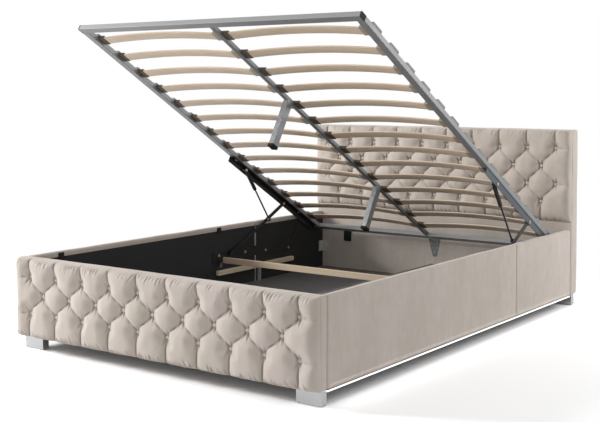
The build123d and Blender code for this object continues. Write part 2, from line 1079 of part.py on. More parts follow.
def slat_pocket(face, turn, from_head):
    """Plastic pocket for a slat's end beside a tube's face, towards +X (turn 1) or -X (turn -1)."""
    half = slat_width / 2 + slat_fit + holder_wall
    body = base_block(
        *sorted((face, face + turn * holder_reach)),
        from_head - half,
        from_head + half,
        slat_rise - slat_fit - holder_wall,
        tube_height + holder_lip,
    )
    hollow = base_block(
        *sorted((face + turn * holder_wall, face + turn * (holder_reach + cut_over))),
        from_head - half + holder_wall,
        from_head + half - holder_wall,
        slat_rise - slat_fit,
        slat_rise + slat_thickness + slat_fit,
    )
    return body - hollow


def holder_cap(side, from_head):
    """The part of a side holder that sits on its tube, with rounded ends."""
    half = holder_cap_length / 2
    top = tube_height + holder_cap_height
    cap = side_bar(
        side, tube_inner, tube_outer, from_head - half, from_head + half, tube_height, top
    )
    ends = cap.faces().sort_by(Axis.Z)[-1].edges().filter_by(Axis.X)
    return fillet(ends, holder_cap_edge)


def side_holders(side):
    face = side * tube_inner
    return [
        slat_pocket(face, -side, start) + holder_cap(side, start) for start in slat_places()
    ]


def centre_holders():
    """Double holders that lie over the centre rail and take a slat's end from each side."""
    face = centre_rail_width / 2
    half = slat_width / 2 + slat_fit + holder_wall
    top = tube_height + holder_lip
    return [
        slat_pocket(face, 1, start)
        + slat_pocket(-face, -1, start)
        + base_block(-face, face, start - half, start + half, tube_height, top)
        for start in slat_places()
    ]


# Angles under the side tubes, the middle legs and the bolts that ride on the base.


def lift_angle_bar(side):
    """Steel angle under the side tube, with the holes for the arm's pin and the spring's stud."""
    ends = (angle_start_from_head, angle_end_from_head)
    upright = side_bar(side, angle_inner, angle_outer, *ends, -angle_drop, 0)
    flange = side_bar(side, angle_outer - angle_flange, angle_outer, *ends, -angle_wall, 0)
    bar = upright + flange
    hinge = closed_point(arm_hinge_from_head, -arm_hinge_drop)
    stud = closed_point(gas_from_head, -gas_drop)
    bar = bar - side_rod(side, pin_radius, angle_inner - cut_over, angle_outer + cut_over, *hinge)
    return bar - side_rod(
        side, gas_pin_radius, angle_inner - cut_over, angle_outer + cut_over, *stud
    )


def base_bolts():
    """Arm pins, gas spring studs and the bolts that hold the angles to the side tubes."""
    pieces = []
    hinge = closed_point(arm_hinge_from_head, -arm_hinge_drop)
    stud = closed_point(gas_from_head, -gas_drop)
    span = angle_end_from_head - angle_start_from_head
    for side in (-1, 1):
        outer = angle_outer + bolt_head_height
        inner = arm_inner - rest_seat_gap - bolt_head_height
        pin = side_rod(side, pin_radius, inner, outer, *hinge)
        pin = pin + side_rod(side, bolt_head_radius, angle_outer, outer, *hinge)
        pin = pin + side_rod(side, bolt_head_radius, inner, inner + bolt_head_height, *hinge)
        pieces.append(pin)
        inner = gas_middle - eye_width / 2
        outer = angle_outer + bolt_head_height
        spring_stud = side_rod(side, gas_pin_radius, inner - rest_seat_gap, outer, *stud)
        spring_stud = spring_stud + side_rod(side, nut_radius, angle_outer, outer, *stud)
        collar = side_rod(
            side, nut_radius, inner - rest_seat_gap - bolt_head_height, inner - rest_seat_gap, *stud
        )
        pieces.append(spring_stud + collar)
        for share in angle_bolt_shares:
            from_head = angle_start_from_head + share * span
            x = side * (angle_outer - angle_flange / 2)
            y, z = closed_point(from_head, -angle_wall - bolt_head_height / 2)
            pieces.append(Pos(x, y, z) * Cylinder(bolt_head_radius, bolt_head_height))
    return pieces


def centre_legs():
    """Hollow steel legs under the centre rail, square to it."""
    legs = []
    half_x = centre_leg_depth / 2
    half_y = centre_leg_width / 2
    for start in centre_leg_from_head:
        outer = base_block(
            -half_x,
            half_x,
            start - half_y,
            start + half_y,
            -centre_leg_length,
            centre_rail_rise,
        )
        inner = base_block(
            -half_x + centre_leg_wall,
            half_x - centre_leg_wall,
            start - half_y + centre_leg_wall,
            start + half_y - centre_leg_wall,
            -centre_leg_length - cut_over,
            centre_rail_rise - centre_leg_wall,
        )
        legs.append(outer - inner)
    return legs


def leg_tips():
    """Rubber tips over the legs' lower ends."""
    tips = []
    half_x = centre_leg_depth / 2 + tip_overhang
    half_y = centre_leg_width / 2 + tip_overhang
    for start in centre_leg_from_head:
        tips.append(
            base_block(
                -half_x,
                half_x,
                start - half_y,
                start + half_y,
                -centre_leg_length - tip_thickness,
                -centre_leg_length,
            )
        )
    return tips


def pieces():
    """Every node of the bed by name, each a list of solids in place."""
    left, right = -1, 1
    nodes = {
        "footboard_panel": [footboard_panel()],
        "footboard_pad": [
            tufted_pad(board_front, footboard_rows, footboard_row_z, rail_low, rail_top)
        ],
        "footboard_buttons": pad_buttons(board_front, footboard_rows, footboard_row_z),
        "headboard_panel": [headboard_panel()],
        "headboard_lower_cover": [headboard_lower_cover()],
        "headboard_pad": [
            tufted_pad(
                head_inner + headboard_cover,
                headboard_rows,
                headboard_row_z,
                headboard_top - headboard_pad_height,
                headboard_top,
            )
        ],
        "headboard_buttons": pad_buttons(
            head_inner + headboard_cover, headboard_rows, headboard_row_z
        ),
        "rail_joint_strips": rail_joint_strips(),
        "light_channels": [light_channel(left), light_channel(right)],
        "light_diffusers": [light_diffuser(left), light_diffuser(right)],
        "foot_glides": foot_glides(),
        "centre_beam": [centre_beam()],
        "centre_beam_feet": centre_beam_feet(),
        "floor_ledges": floor_ledges(),
        "cross_brace": [cross_brace()],
        "brace_brackets": brace_brackets(),
        "rail_battens": rail_battens(),
        "joint_posts": joint_posts(),
        "corner_brackets": corner_brackets(),
        "base_rests": base_rests(),
        "headboard_stops": headboard_stops(),
        "centre_hook_bracket": [centre_hook_bracket()],
        "plate_bolts": plate_bolts(),
        "pivot_pins": pivot_pins(),
    }
    for side, name in ((left, "left"), (right, "right")):
        nodes[f"side_rail_{name}_front"] = [rail_front_section(side)]
        nodes[f"side_rail_{name}_rear"] = [rail_rear_section(side)]
        nodes[f"side_lining_{name}"] = side_lining(side)
        nodes[f"floor_panel_{name}"] = [floor_panel(side)]
        nodes[f"lift_plate_{name}"] = [lift_plate(side)]
        nodes[f"lift_arm_{name}"] = [lift_arm(side)]
        nodes[f"gas_cylinder_{name}"] = [gas_cylinder(side)]
        nodes[f"gas_rod_{name}"] = [gas_rod(side)]
        for end in ("front", "rear"):
            nodes[f"foot_{name}_{end}"] = [foot(side, end)]
    closed_base = {
        "base_foot_tube": [cross_tube(tube_outer - cap_thickness, base_length - tube_width)],
        "base_head_tube": [cross_tube(tube_inner, 0)],
        "base_centre_rail": [centre_rail()],
        "tube_end_caps": tube_end_caps(),
        "slat_holders_centre": centre_holders(),
        "centre_legs": centre_legs(),
        "leg_tips": leg_tips(),
        "base_bolts": base_bolts(),
    }
    for side, name in ((left, "left"), (right, "right")):
        closed_base[f"base_side_tube_{name}"] = [side_tube(side)]
        closed_base[f"slats_{name}"] = slats(side)
        closed_base[f"slat_holders_{name}"] = side_holders(side)
        closed_base[f"lift_angle_{name}"] = [lift_angle_bar(side)]
    for name, solids in closed_base.items():
        nodes[name] = [raised(solid) for solid in solids]
    return nodes


os.makedirs("parts", exist_ok=True)
for node_name, solids in pieces().items():
    shape = solids[0] if len(solids) == 1 else Compound(children=solids)
    export_step(shape, f"parts/{node_name}.step")
    print(node_name, len(solids))
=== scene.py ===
# %% [markdown]
# # A storage bed, dressed
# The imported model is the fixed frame: every part of the bed already has its place there, in
# metres, and each moving part hangs on a body. This notebook puts finishes on the hard parts
# and makes the soft ones, which are surfaces computed with numpy.

# %% Load the frame
import json
import math

import bmesh
import bpy
import numpy as np
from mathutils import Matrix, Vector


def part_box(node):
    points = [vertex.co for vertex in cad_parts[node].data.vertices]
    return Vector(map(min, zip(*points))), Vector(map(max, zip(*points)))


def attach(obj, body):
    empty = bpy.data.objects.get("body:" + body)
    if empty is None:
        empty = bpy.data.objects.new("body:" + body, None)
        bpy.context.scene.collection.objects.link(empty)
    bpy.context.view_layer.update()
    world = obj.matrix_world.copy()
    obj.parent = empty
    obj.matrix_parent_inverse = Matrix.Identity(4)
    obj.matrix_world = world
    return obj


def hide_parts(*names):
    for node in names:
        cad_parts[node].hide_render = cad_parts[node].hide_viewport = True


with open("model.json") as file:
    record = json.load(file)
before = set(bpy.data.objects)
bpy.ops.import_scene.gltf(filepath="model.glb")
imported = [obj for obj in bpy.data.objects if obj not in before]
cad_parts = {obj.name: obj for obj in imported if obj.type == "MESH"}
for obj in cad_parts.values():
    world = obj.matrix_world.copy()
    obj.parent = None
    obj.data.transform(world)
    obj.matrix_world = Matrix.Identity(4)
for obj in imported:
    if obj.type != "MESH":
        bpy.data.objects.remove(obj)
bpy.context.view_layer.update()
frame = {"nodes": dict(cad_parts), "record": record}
print("hard parts in the frame:", len(frame["nodes"]))


def add_object(name, data):
    """A new object of the scene that shows a mesh, a lamp or a camera."""
    made = bpy.data.objects.new(name, data)
    bpy.context.scene.collection.objects.link(made)
    return made


# %% [markdown]
# ## Camera
# The picture is almost a two-point perspective: upright edges stay upright. A level camera
# would need a large lens shift, so this one looks down by a few degrees and shifts the rest.
# The focal length comes from the picture's vanishing points, in pixels, and a 36 mm sensor
# turns it into a lens.

# %% Put the camera where the picture was taken
picture_width = 600
sensor = 36.0
focal_pixels = 1095.77
camera_place = (2.6968, -3.88905, 1.0175)
camera_turn = 0.6266
camera_tilt = 0.0442
lens_shift = -0.12

camera_data = bpy.data.cameras.new("picture_camera")
camera_data.sensor_width = sensor
camera_data.lens = sensor * focal_pixels / picture_width
camera_data.shift_y = lens_shift
camera = add_object("picture_camera", camera_data)
camera.location = camera_place
camera.rotation_euler = (math.pi / 2 - camera_tilt, 0, camera_turn)
bpy.context.scene.camera = camera
print("lens:", round(camera_data.lens, 2), "mm")

# %% [markdown]
# ## Finishes as expressions
# A finish is a graph of small nodes. Written with Python's operators, as in 1 - mask * 0.3,
# it reads like the sum that it is. Signal wraps one socket and adds a Math node for each
# operator. Every other kind of node comes from Graph.node.

# %% The helpers for finishes


class Signal:
    """One socket of a graph. Arithmetic on it adds Math nodes."""

    def __init__(self, graph, socket):
        self.graph = graph
        self.socket = socket

    def math(self, operation, *others):
        """A Math node whose first value is this signal."""
        return self.graph.node("ShaderNodeMath", {"operation": operation}, (self, *others))

    def __add__(self, other):
        return self.math("ADD", other)

    def __sub__(self, other):
        return self.math("SUBTRACT", other)

    def __rsub__(self, other):
        return self.graph.node("ShaderNodeMath", {"operation": "SUBTRACT"}, (other, self))

    def __mul__(self, other):
        return self.math("MULTIPLY", other)

    __radd__ = __add__
    __rmul__ = __mul__


class Graph:
    """The nodes of a material or of the world."""

    def __init__(self, tree):
        self.tree = tree

    def feed(self, socket, value):
        """Link a signal to a socket, or set a constant on it."""
        if isinstance(value, Signal):
            self.tree.links.new(value.socket, socket)
        else:
            socket.default_value = value

    def node(self, kind, settings=(), inputs=(), output=0):
        """Add a node: its settings first, then the values or links of its sockets."""
        made = self.tree.nodes.new(kind)
        for key, value in dict(settings).items():
            setattr(made, key, value)
        sockets = inputs.items() if isinstance(inputs, dict) else enumerate(inputs)
        for key, value in sockets:
            self.feed(made.inputs[key], value)
        return Signal(self, made.outputs[output])


class Finish(Graph):
    """A material with one Principled shader. Constants go on the shader's own sockets."""

    def __init__(self, name, colour, roughness, **constants):
        self.material = bpy.data.materials.new(name)
        self.material.use_nodes = True
        super().__init__(self.material.node_tree)
        self.shader = self.tree.nodes["Principled BSDF"]
        self.colour = colour
        self.put("Base Color", (*colour, 1))
        self.put("Roughness", roughness)
        for socket, value in constants.items():
            self.put(socket.replace("_", " ").title(), value)

    def put(self, socket, value):
        """Feed one of the shader's sockets, by its name."""
        self.feed(self.shader.inputs[socket], value)

    def place(self, scale=(1, 1, 1)):
        """Where a point is on the bed, in metres, with each axis scaled."""
        spot = self.node("ShaderNodeTexCoord", output="Object")
        return self.node("ShaderNodeMapping", inputs={"Vector": spot, "Scale": scale})

    def noise(self, scale, detail, stretch=(1, 1, 1)):
        """Noise with about this many lumps a metre, fewer along a stretched axis."""
        values = {"Vector": self.place(stretch), "Scale": scale, "Detail": detail}
        return self.node("ShaderNodeTexNoise", inputs=values)

    def mix(self, amount, one, other, blend="MIX"):
        """From colour one to colour other, or from one to their product."""
        ends = [v if isinstance(v, Signal) else (*v, 1) for v in (one, other)]
        settings = {"data_type": "RGBA", "blend_type": blend}
        return self.node("ShaderNodeMix", settings, {0: amount, 6: ends[0], 7: ends[1]}, 2)

    def shade(self, amount, colour=None):
        """A colour times an amount that changes over the surface. Without a colour it is
        the finish's own."""
        values = {0: self.colour if colour is None else colour, "Scale": amount}
        return self.node("ShaderNodeVectorMath", {"operation": "SCALE"}, values)

    def relief(self, height, distance, strength):
        """A bump: height, from 0 to 1, times a distance in metres."""
        bump = {"Height": height, "Distance": distance, "Strength": strength}
        self.put("Normal", self.node("ShaderNodeBump", inputs=bump))


# %% [markdown]
# ## Velvet
# The bed is covered in a short pile velvet. Its colour hardly changes, but the pile leans
# one way or another, so broad soft patches look lighter or darker, yellower or pinker, and
# at a glancing angle the fibres catch the light. Hair strands could show that, at the cost
# of a very heavy model. Here noise makes the patches, the shader's sheen the rim, and a very
# fine bump breaks up the surface as the pile does. The tufted pads also carry an attribute
# that darkens the colour deep in their pleats, in a ring round each button and in their
# small folds: painted shade, for the shade that lies there on the real cloth.

# %% Velvet on the pads, rails and headboard
pile_height = 0.0004
# How far the painted shade darkens the velvet where a pleat is deepest
tuck_shade = 0.42


def velvet(name, yellower, pinker, lean=1.0):
    """Pile velvet in two close hues. Its tone is a constant plus weighted noises, times what
    the painted shade of the pleats leaves. Lean is how strongly the pile's direction shows."""
    finish = Finish(name, yellower, 0.88, sheen_weight=0.3, sheen_roughness=0.42)
    finish.put("Sheen Tint", (1.0, 0.96, 0.92, 1))
    finish.put("Specular IOR Level", 0.25)
    patches = finish.noise(5.5, 3.0, (1, 1, 0.45))
    clouds = finish.noise(26.0, 3.0, (1, 1, 0.7))
    strokes = finish.noise(52.0, 2.0, (1, 1, 0.14))
    fibres = finish.noise(1150.0, 1.0)
    sweep = patches * 0.34 + clouds * 0.2 + strokes * 0.1
    tone = 0.965 - 0.32 * lean + sweep * lean + fibres * 0.07
    # Painted shade from the tufted pads' attribute: darker deep in pleats, round buttons and in
    # folds
    tuck = finish.node("ShaderNodeAttribute", {"attribute_name": "tuck"}, output="Fac")
    hue = finish.mix((clouds + patches - 0.75) * 2.0, yellower, pinker)
    finish.put("Base Color", finish.shade(tone * (1 - tuck * tuck_shade), hue))
    finish.relief(fibres * 0.6 + strokes * 0.4, pile_height, 0.5)
    return finish.material


finishes = {
    "velvet": velvet("greige_velvet", (0.55, 0.496, 0.428), (0.55, 0.483, 0.447)),
    # A lighter copy of the pads' velvet, with weaker patches: painted highlight on the domed
    # buttons
    "velvet_button": velvet(
        "greige_velvet_buttons", (0.6, 0.545, 0.48), (0.6, 0.535, 0.497), 0.5
    ),
}
print("velvet nodes:", len(finishes["velvet"].node_tree.nodes))

# %% [markdown]
# ## Wood
# The slats are thin beech laminated in layers, the brace and battens plain softwood. In both
# the grain runs along the piece. A picture of wood would repeat from slat to slat, so the
# grain is noise that is stretched fifty times along one axis. Each slat has its own tone,
# found from its number along the raised base. The battens are a lighter copy of the brace's
# softwood: painted light, since they lie in shade. The storage floor is board with a grey film.

# %% Slat, brace and board finishes
lift_angle = math.radians(30.24)
slat_pitch = 0.1334
grain_scale = 0.018
hair_scale = 0.02


def fibrous(along, amount):
    """Scales that are 1 on two axes and a small amount on the one that fibres follow, where
    the pattern is then stretched."""
    return tuple(amount if axis == along else 1.0 for axis in "xyz")


def grain(finish, along, fine, light, dark):
    """Long fibres along one axis: fine and broad noise, both stretched on it, added."""
    fibre = finish.noise(fine, 4.0, fibrous(along, grain_scale))
    bands = finish.noise(fine * 0.16, 2.0, fibrous(along, grain_scale))
    finish.relief(fibre, 0.0003, 0.5)
    return finish.mix(fibre * 0.65 + bands * 0.5 - 0.08, light, dark)


def slat_wood():
    """Beech whose tone changes from slat to slat: the place along the raised base, in slat
    pitches and rounded down, picks it."""
    finish = Finish("beech_slats", (0.62, 0.52, 0.4), 0.5, coat_weight=0.15)
    tones = grain(finish, "x", 260.0, (0.84, 0.69, 0.54), (0.69, 0.54, 0.405))
    across = (0, -math.cos(lift_angle) / slat_pitch, math.sin(lift_angle) / slat_pitch)
    number = finish.node(
        "ShaderNodeVectorMath", {"operation": "DOT_PRODUCT"}, {0: finish.place(), 1: across}, 1
    )
    tone = finish.node(
        "ShaderNodeTexWhiteNoise", {"noise_dimensions": "1D"}, {"W": number.math("FLOOR")}
    )
    warmer = finish.mix(tone * 0.35, (1, 1, 1), (0.92, 0.86, 0.8))
    finish.put("Base Color", finish.mix(1.0, tones, warmer, "MULTIPLY"))
    return finish.material


def plain_wood(name, along, light, dark):
    """Planed softwood with its grain along one axis."""
    finish = Finish(name, light, 0.62)
    finish.put("Base Color", grain(finish, along, 190.0, light, dark))
    return finish.material


def floor_board():
    """Grey faced board: an even film with a faint print and a dull gloss."""
    finish = Finish("grey_faced_board", (0.115, 0.112, 0.112), 0.55)
    cloud = finish.noise(7.0, 3.0)
    speck = finish.noise(700.0, 2.0)
    finish.put("Base Color", finish.shade(0.86 + cloud * 0.2 + speck * 0.1))
    finish.put("Roughness", 0.48 + cloud * 0.16)
    finish.relief(speck, 0.0002, 0.4)
    return finish.material


boards = {
    "slat_wood": slat_wood(),
    "brace_wood": plain_wood(
        "planed_softwood_across", "x", (0.68, 0.56, 0.42), (0.5, 0.385, 0.265)
    ),
    # Lighter than the brace's softwood: painted light on the battens, which lie in shade
    "batten_wood": plain_wood(
        "planed_softwood_along", "y", (0.9, 0.77, 0.58), (0.76, 0.62, 0.44)
    ),
    "floor_board": floor_board(),
}
finishes.update(boards)
print("wood and board finishes:", len(boards))

# %% [markdown]
# ## Powder coat, plastic and rubber
# The base's tubes and the mechanism are powder coated, which leaves a fine orange-peel skin,
# and moulded plastic is slightly pebbled. One recipe serves them all: a colour, a gloss that
# wanders a little, and a small bump. The slats' holders are one part in the frame, and their
# colour is found from the place across the bed: grey on the tubes, painted shade in the dark
# brown pocket at each slat's left end, and painted light in the tan pocket at the right end.
# The right lift angle is the left one's black coat made blue-grey: painted light where the
# lamp grazes it. Each key below is a slot's name in the frame, whatever the finish: the rods
# are black.

# %% Coated and moulded finishes
tube_gap = 0.0002
holder_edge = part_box("base_side_tube_right")[0].x - tube_gap


def coated(name, colour, roughness, metallic=0.0, speckle=0.1, peel=0.00012, gloss=0.5):
    """Powder coat, plastic or rubber: fine skin, slightly cloudy gloss."""
    finish = Finish(name, colour, roughness, metallic=metallic)
    finish.put("Specular IOR Level", gloss)
    cloud = finish.noise(11.0, 2.0)
    skin = finish.noise(620.0, 1.0)
    finish.put("Base Color", finish.shade(1 - speckle * 0.5 + skin * speckle))
    finish.put("Roughness", roughness - 0.06 + cloud * 0.12)
    finish.relief(skin, peel, 0.6)
    return finish.material


def holder_plastic():
    """Slat holders: grey caps on the side tubes and a pocket at each slat's end, painted dark
    brown at the left end for the shade inside it, and painted tan at the right one for the
    light on it. The place across the bed tells a point's part: its remainder after whole fields
    of slats says which end of a slat is near."""
    finish = Finish("holder_plastic", (0.2, 0.18, 0.16), 0.5)
    finish.put("Specular IOR Level", 0.3)
    across = finish.node("ShaderNodeSeparateXYZ", inputs=[finish.place()])
    on_tube = across.math("ABSOLUTE").math("GREATER_THAN", holder_edge)
    right_end = across.math("FLOORED_MODULO", holder_edge).math("GREATER_THAN", holder_edge / 2)
    skin = finish.noise(500.0, 1.0)
    # Painted shade in the left pockets, painted light in the right ones
    pocket_light_and_shade = finish.mix(right_end, (0.11, 0.085, 0.062), (0.42, 0.34, 0.26))
    tone = finish.mix(on_tube, pocket_light_and_shade, (0.3, 0.305, 0.31))
    pebbles = finish.mix(skin, (0.7, 0.7, 0.7), (1, 1, 1))
    finish.put("Base Color", finish.mix(0.2, tone, pebbles, "MULTIPLY"))
    finish.relief(skin, 0.0002, 0.5)
    return finish.material


moulded = {
    "frame_steel": coated("grey_powder_coat", (0.3, 0.302, 0.305), 0.45, 0.3),
    "centre_steel": coated("dark_powder_coat", (0.21, 0.213, 0.218), 0.5, 0.3),
    "mechanism_black": coated("black_powder_coat", (0.022, 0.022, 0.024), 0.36, 0.3),
    # The right lift angle: the black coat lightened to blue-grey, painted light where the lamp
    # grazes it
    "angle_steel": coated("blue_grey_steel", (0.11, 0.125, 0.14), 0.38, 0.6),
    "beam_steel": coated("dark_steel", (0.07, 0.072, 0.075), 0.45, 0.3),
    "rod_chrome": coated("black_rod", (0.05, 0.051, 0.054), 0.25, 0.6, 0.05),
    "dark_plastic": coated("dark_plastic", (0.02, 0.02, 0.022), 0.6, gloss=0.15),
    "glide_plastic": coated("glide_plastic", (0.04, 0.04, 0.04), 0.55),
    "tip_rubber": coated("black_rubber", (0.014, 0.014, 0.014), 0.8, peel=0.0002, gloss=0.15),
    "holder_plastic": holder_plastic(),
}
finishes.update(moulded)
print("coated and moulded finishes:", len(moulded))

# %% [markdown]
# ## Bare metal
# Zinc cools in flat crystals, which look like cloudy grains. Voronoi cells are the same
# thing in a graph: each cell gets its own grey and gloss. A plated foot has brush lines
# along its width, and drawn aluminium has them along its length, which is noise stretched
# on one axis again.

# %% Zinc and brushed metal


def galvanised(name, colour, metallic=0.85):
    """Zinc: flat crystals, each with its own grey and gloss."""
    finish = Finish(name, colour, 0.42, metallic=metallic)
    crystal = finish.node(
        "ShaderNodeTexVoronoi", inputs={"Vector": finish.place(), "Scale": 120.0}, output="Color"
    )
    level = finish.node("ShaderNodeSeparateColor", inputs=[crystal])
    finish.put("Base Color", finish.shade(0.86 + level * 0.22))
    finish.put("Roughness", 0.34 + level * 0.16)
    finish.relief(level, 0.00006, 0.4)
    return finish.material


def brushed(name, colour, roughness, along):
    """Brushed or drawn metal: hair lines along one axis."""
    finish = Finish(name, colour, roughness, metallic=1.0)
    hair = finish.noise(1400.0, 2.0, fibrous(along, hair_scale))
    finish.put("Base Color", finish.shade(0.9 + hair * 0.18))
    finish.put("Roughness", roughness - 0.05 + hair * 0.12)
    finish.relief(hair, 0.00005, 0.5)
    return finish.material


metals = {
    "galvanised": galvanised("zinc_coat", (0.25, 0.255, 0.26), 0.7),
    "dull_zinc": galvanised("dull_zinc", (0.62, 0.62, 0.59), 0.2),
    "bolt_zinc": galvanised("zinc_bolts", (0.55, 0.55, 0.54)),
    "foot_metal": brushed("plated_foot", (0.7, 0.71, 0.73), 0.28, "x"),
    "strip_aluminium": brushed("satin_aluminium", (0.68, 0.68, 0.67), 0.38, "y"),
}
finishes.update(metals)
print("bare metals:", len(metals))

# %% [markdown]
# ## Lining and light strip
# The box is lined with thin black cloth of pressed fibres. Under each rail runs a light
# strip: small lamps on a tape behind a milky diffuser, which spreads them into one band. A
# shader with emission shows that band at full white.

# %% Lining and diffuser


def black_lining():
    """Thin black non-woven cloth: pressed fibres in a fine net."""
    finish = Finish("black_lining_cloth", (0.0175, 0.0173, 0.0178), 0.9)
    fibre = finish.noise(800.0, 3.0)
    cloud = finish.noise(6.0, 2.0)
    finish.put("Base Color", finish.shade(0.7 + fibre * 0.45 + cloud * 0.25))
    finish.relief(fibre, 0.0004, 0.5)
    return finish.material


def light_strip():
    """Milky diffuser lit from inside, a little whiter over each lamp of the tape."""
    finish = Finish("lit_diffuser", (0.9, 0.93, 0.96), 0.4)
    lamps = finish.noise(60.0, 0.0, (0.02, 1, 0.02))
    finish.put("Emission Color", finish.mix(lamps, (0.94, 0.97, 1.0), (1.0, 1.0, 1.0)))
    finish.put("Emission Strength", 1.1)
    return finish.material


finishes.update(lining=black_lining(), diffuser=light_strip())
print("finishes:", len(finishes))

# %% [markdown]
# ## Hard parts
# A tube, plate or holder from the frame already has its shape. Its edges are perfectly
# sharp, though, and no real edge is. The frame's meshes are loose triangles, so a Weld
# joins them first, and then a Bevel rounds each edge by about a millimetre. Both are
# modifiers, which leave the frame's own mesh as it is.

# %% Finish and round the hard parts
node_slots = {part["node"]: part["material_slot"] for part in frame["record"]["subparts"]}
other_finish = {
    # Painted light: the right angle wears the lightened copy of the black coat
    "lift_angle_right": "angle_steel",
    "base_centre_rail": "centre_steel",
    "rail_battens": "batten_wood",
    "joint_posts": "dull_zinc",
    "corner_brackets": "dull_zinc",
    "centre_beam": "floor_board",
}
edge_sizes = {
    "frame_steel": 0.0022,
    "foot_metal": 0.0012,
    "slat_wood": 0.0018,
    "brace_wood": 0.0012,
    "holder_plastic": 0.0012,
    "galvanised": 0.0006,
    "mechanism_black": 0.0006,
}
weld_gap = 0.00002
sharp_angle = math.radians(50)


def round_edges(part, size):
    """Join a part's triangles and round the edges that turn by more than sharp_angle."""
    weld = part.modifiers.new("join", "WELD")
    weld.merge_threshold = weld_gap
    bevel = part.modifiers.new("edges", "BEVEL")
    bevel.width = size
    bevel.segments = 2
    bevel.limit_method = "ANGLE"
    bevel.angle_limit = sharp_angle
    bevel.harden_normals = True
    bevel.use_clamp_overlap = True


for node, part in frame["nodes"].items():
    slot = node_slots[node]
    part.data.materials.clear()
    part.data.materials.append(finishes[other_finish.get(node, slot)])
    if slot in edge_sizes:
        round_edges(part, edge_sizes[slot])
print("hard parts with rounded edges:", sum(s in edge_sizes for s in node_slots.values()))

# %% [markdown]
# ## New pieces
# Every soft piece is a surface computed with numpy and handed to Blender in one go, which is
# quick and leaves each point where its formula puts it. All of them belong to the box, which
# stands still, and each stands for one plain solid of the frame. The normals are
# recalculated so that they all point outwards.

# %% From arrays to a piece
fixed_body = "bed_box"


def add_piece(name, points, faces, node, slot):
    """A mesh piece in place, which stands for a node and wears its slot's finish."""
    mesh = bpy.data.meshes.new(name)
    mesh.from_pydata(points.tolist(), [], faces)
    shell = bmesh.new()
    shell.from_mesh(mesh)
    bmesh.ops.recalc_face_normals(shell, faces=shell.faces)
    shell.to_mesh(mesh)
    shell.free()
    mesh.polygons.foreach_set("use_smooth", [True] * len(mesh.polygons))
    mesh.materials.append(finishes[slot])
    piece = add_object(name, mesh)
    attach(piece, fixed_body)
    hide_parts(node)
    print(name, len(points), "points")
    return piece


def net_faces(rows, columns, first=0):
    """Four-sided faces of a net of points that are numbered row by row."""
    corner = (np.arange(rows - 1)[:, None] * columns + np.arange(columns - 1)).ravel() + first
    return np.stack([corner, corner + 1, corner + columns + 1, corner + columns], axis=1)


# %% [markdown]
# ## Upholstered boards
# The rails and the boards behind the pads are timber wrapped in velvet over thin foam. Such
# a board is a box whose edges are rounded, whose big faces swell by a millimetre or two, and
# whose cloth lies in slow waves. A bevelled cube would have too few points to swell, so one
# function makes them all: a net of points on a box is drawn to a smaller box inside it, and
# set one edge radius out again.

# %% Rounded board
arc_steps = 3


def board_lines(low, high, radius, step):
    """Net lines from edge to edge: even ones between, and arc_steps in each rounded edge.
    The offsets in an edge are the radius times the tangent of even angles."""
    count = max(2, round((high - low - 2 * radius) / step))
    arc = radius * (1 - np.tan(np.linspace(np.pi / 4, 0, arc_steps, endpoint=False)))
    return np.concatenate(
        [low + arc, np.linspace(low + radius, high - radius, count), (high - arc)[::-1]]
    )


def board_net(low, high, radius, step):
    """Points, outward directions and faces of a box with rounded edges.
    The box's six nets are joined where their points coincide."""
    lines = [board_lines(low[k], high[k], radius, step) for k in range(3)]
    points, faces, first = [], [], 0
    for axis in range(3):
        one, other = [lines[k] for k in range(3) if k != axis]
        for end in (low[axis], high[axis]):
            a, b = np.meshgrid(one, other, indexing="ij")
            net = np.insert(np.stack([a.ravel(), b.ravel()], 1), axis, end, axis=1)
            points.append(net)
            faces.append(net_faces(len(one), len(other), first))
            first += len(net)
    points, faces = np.concatenate(points), np.concatenate(faces)
    kept, number = np.unique(np.round(points, 7), axis=0, return_inverse=True)
    core = np.clip(kept, np.array(low) + radius, np.array(high) - radius)
    outward = kept - core
    outward /= np.linalg.norm(outward, axis=1)[:, None]
    return core + outward * radius, outward, number.ravel()[faces]


print("lines over a rounded edge:", arc_steps)

# %% [markdown]
# ## Padding
# Foam pushes the velvet out most in the middle of a face, where nothing holds it, and a sewn
# seam draws it in along a line. Noise could make the cloth uneven, but it has no wavelength
# that can be set, so a few sine waves in random directions are added up.

# %% Padding and slow waves
wave_count = 7
wave_spread = (0.6, 1.6)
cloth_wave_height = 0.0006
cloth_wave_length = 0.19
seam_width = 0.0028
flat_drop = 0.0003
flat_facing = 0.3


def slow_waves(points, height, length, seed):
    """Soft unevenness: the sum of a few sine waves in random directions and lengths, over
    three, so that the peaks are about as high as height."""
    draw = np.random.default_rng(seed)
    total = np.zeros(len(points))
    for _ in range(wave_count):
        heading = draw.normal(size=3)
        heading /= np.linalg.norm(heading)
        reach = length * draw.uniform(*wave_spread)
        total += np.sin(points @ heading * (2 * np.pi / reach) + draw.uniform(0, 2 * np.pi))
    return total * height / 3


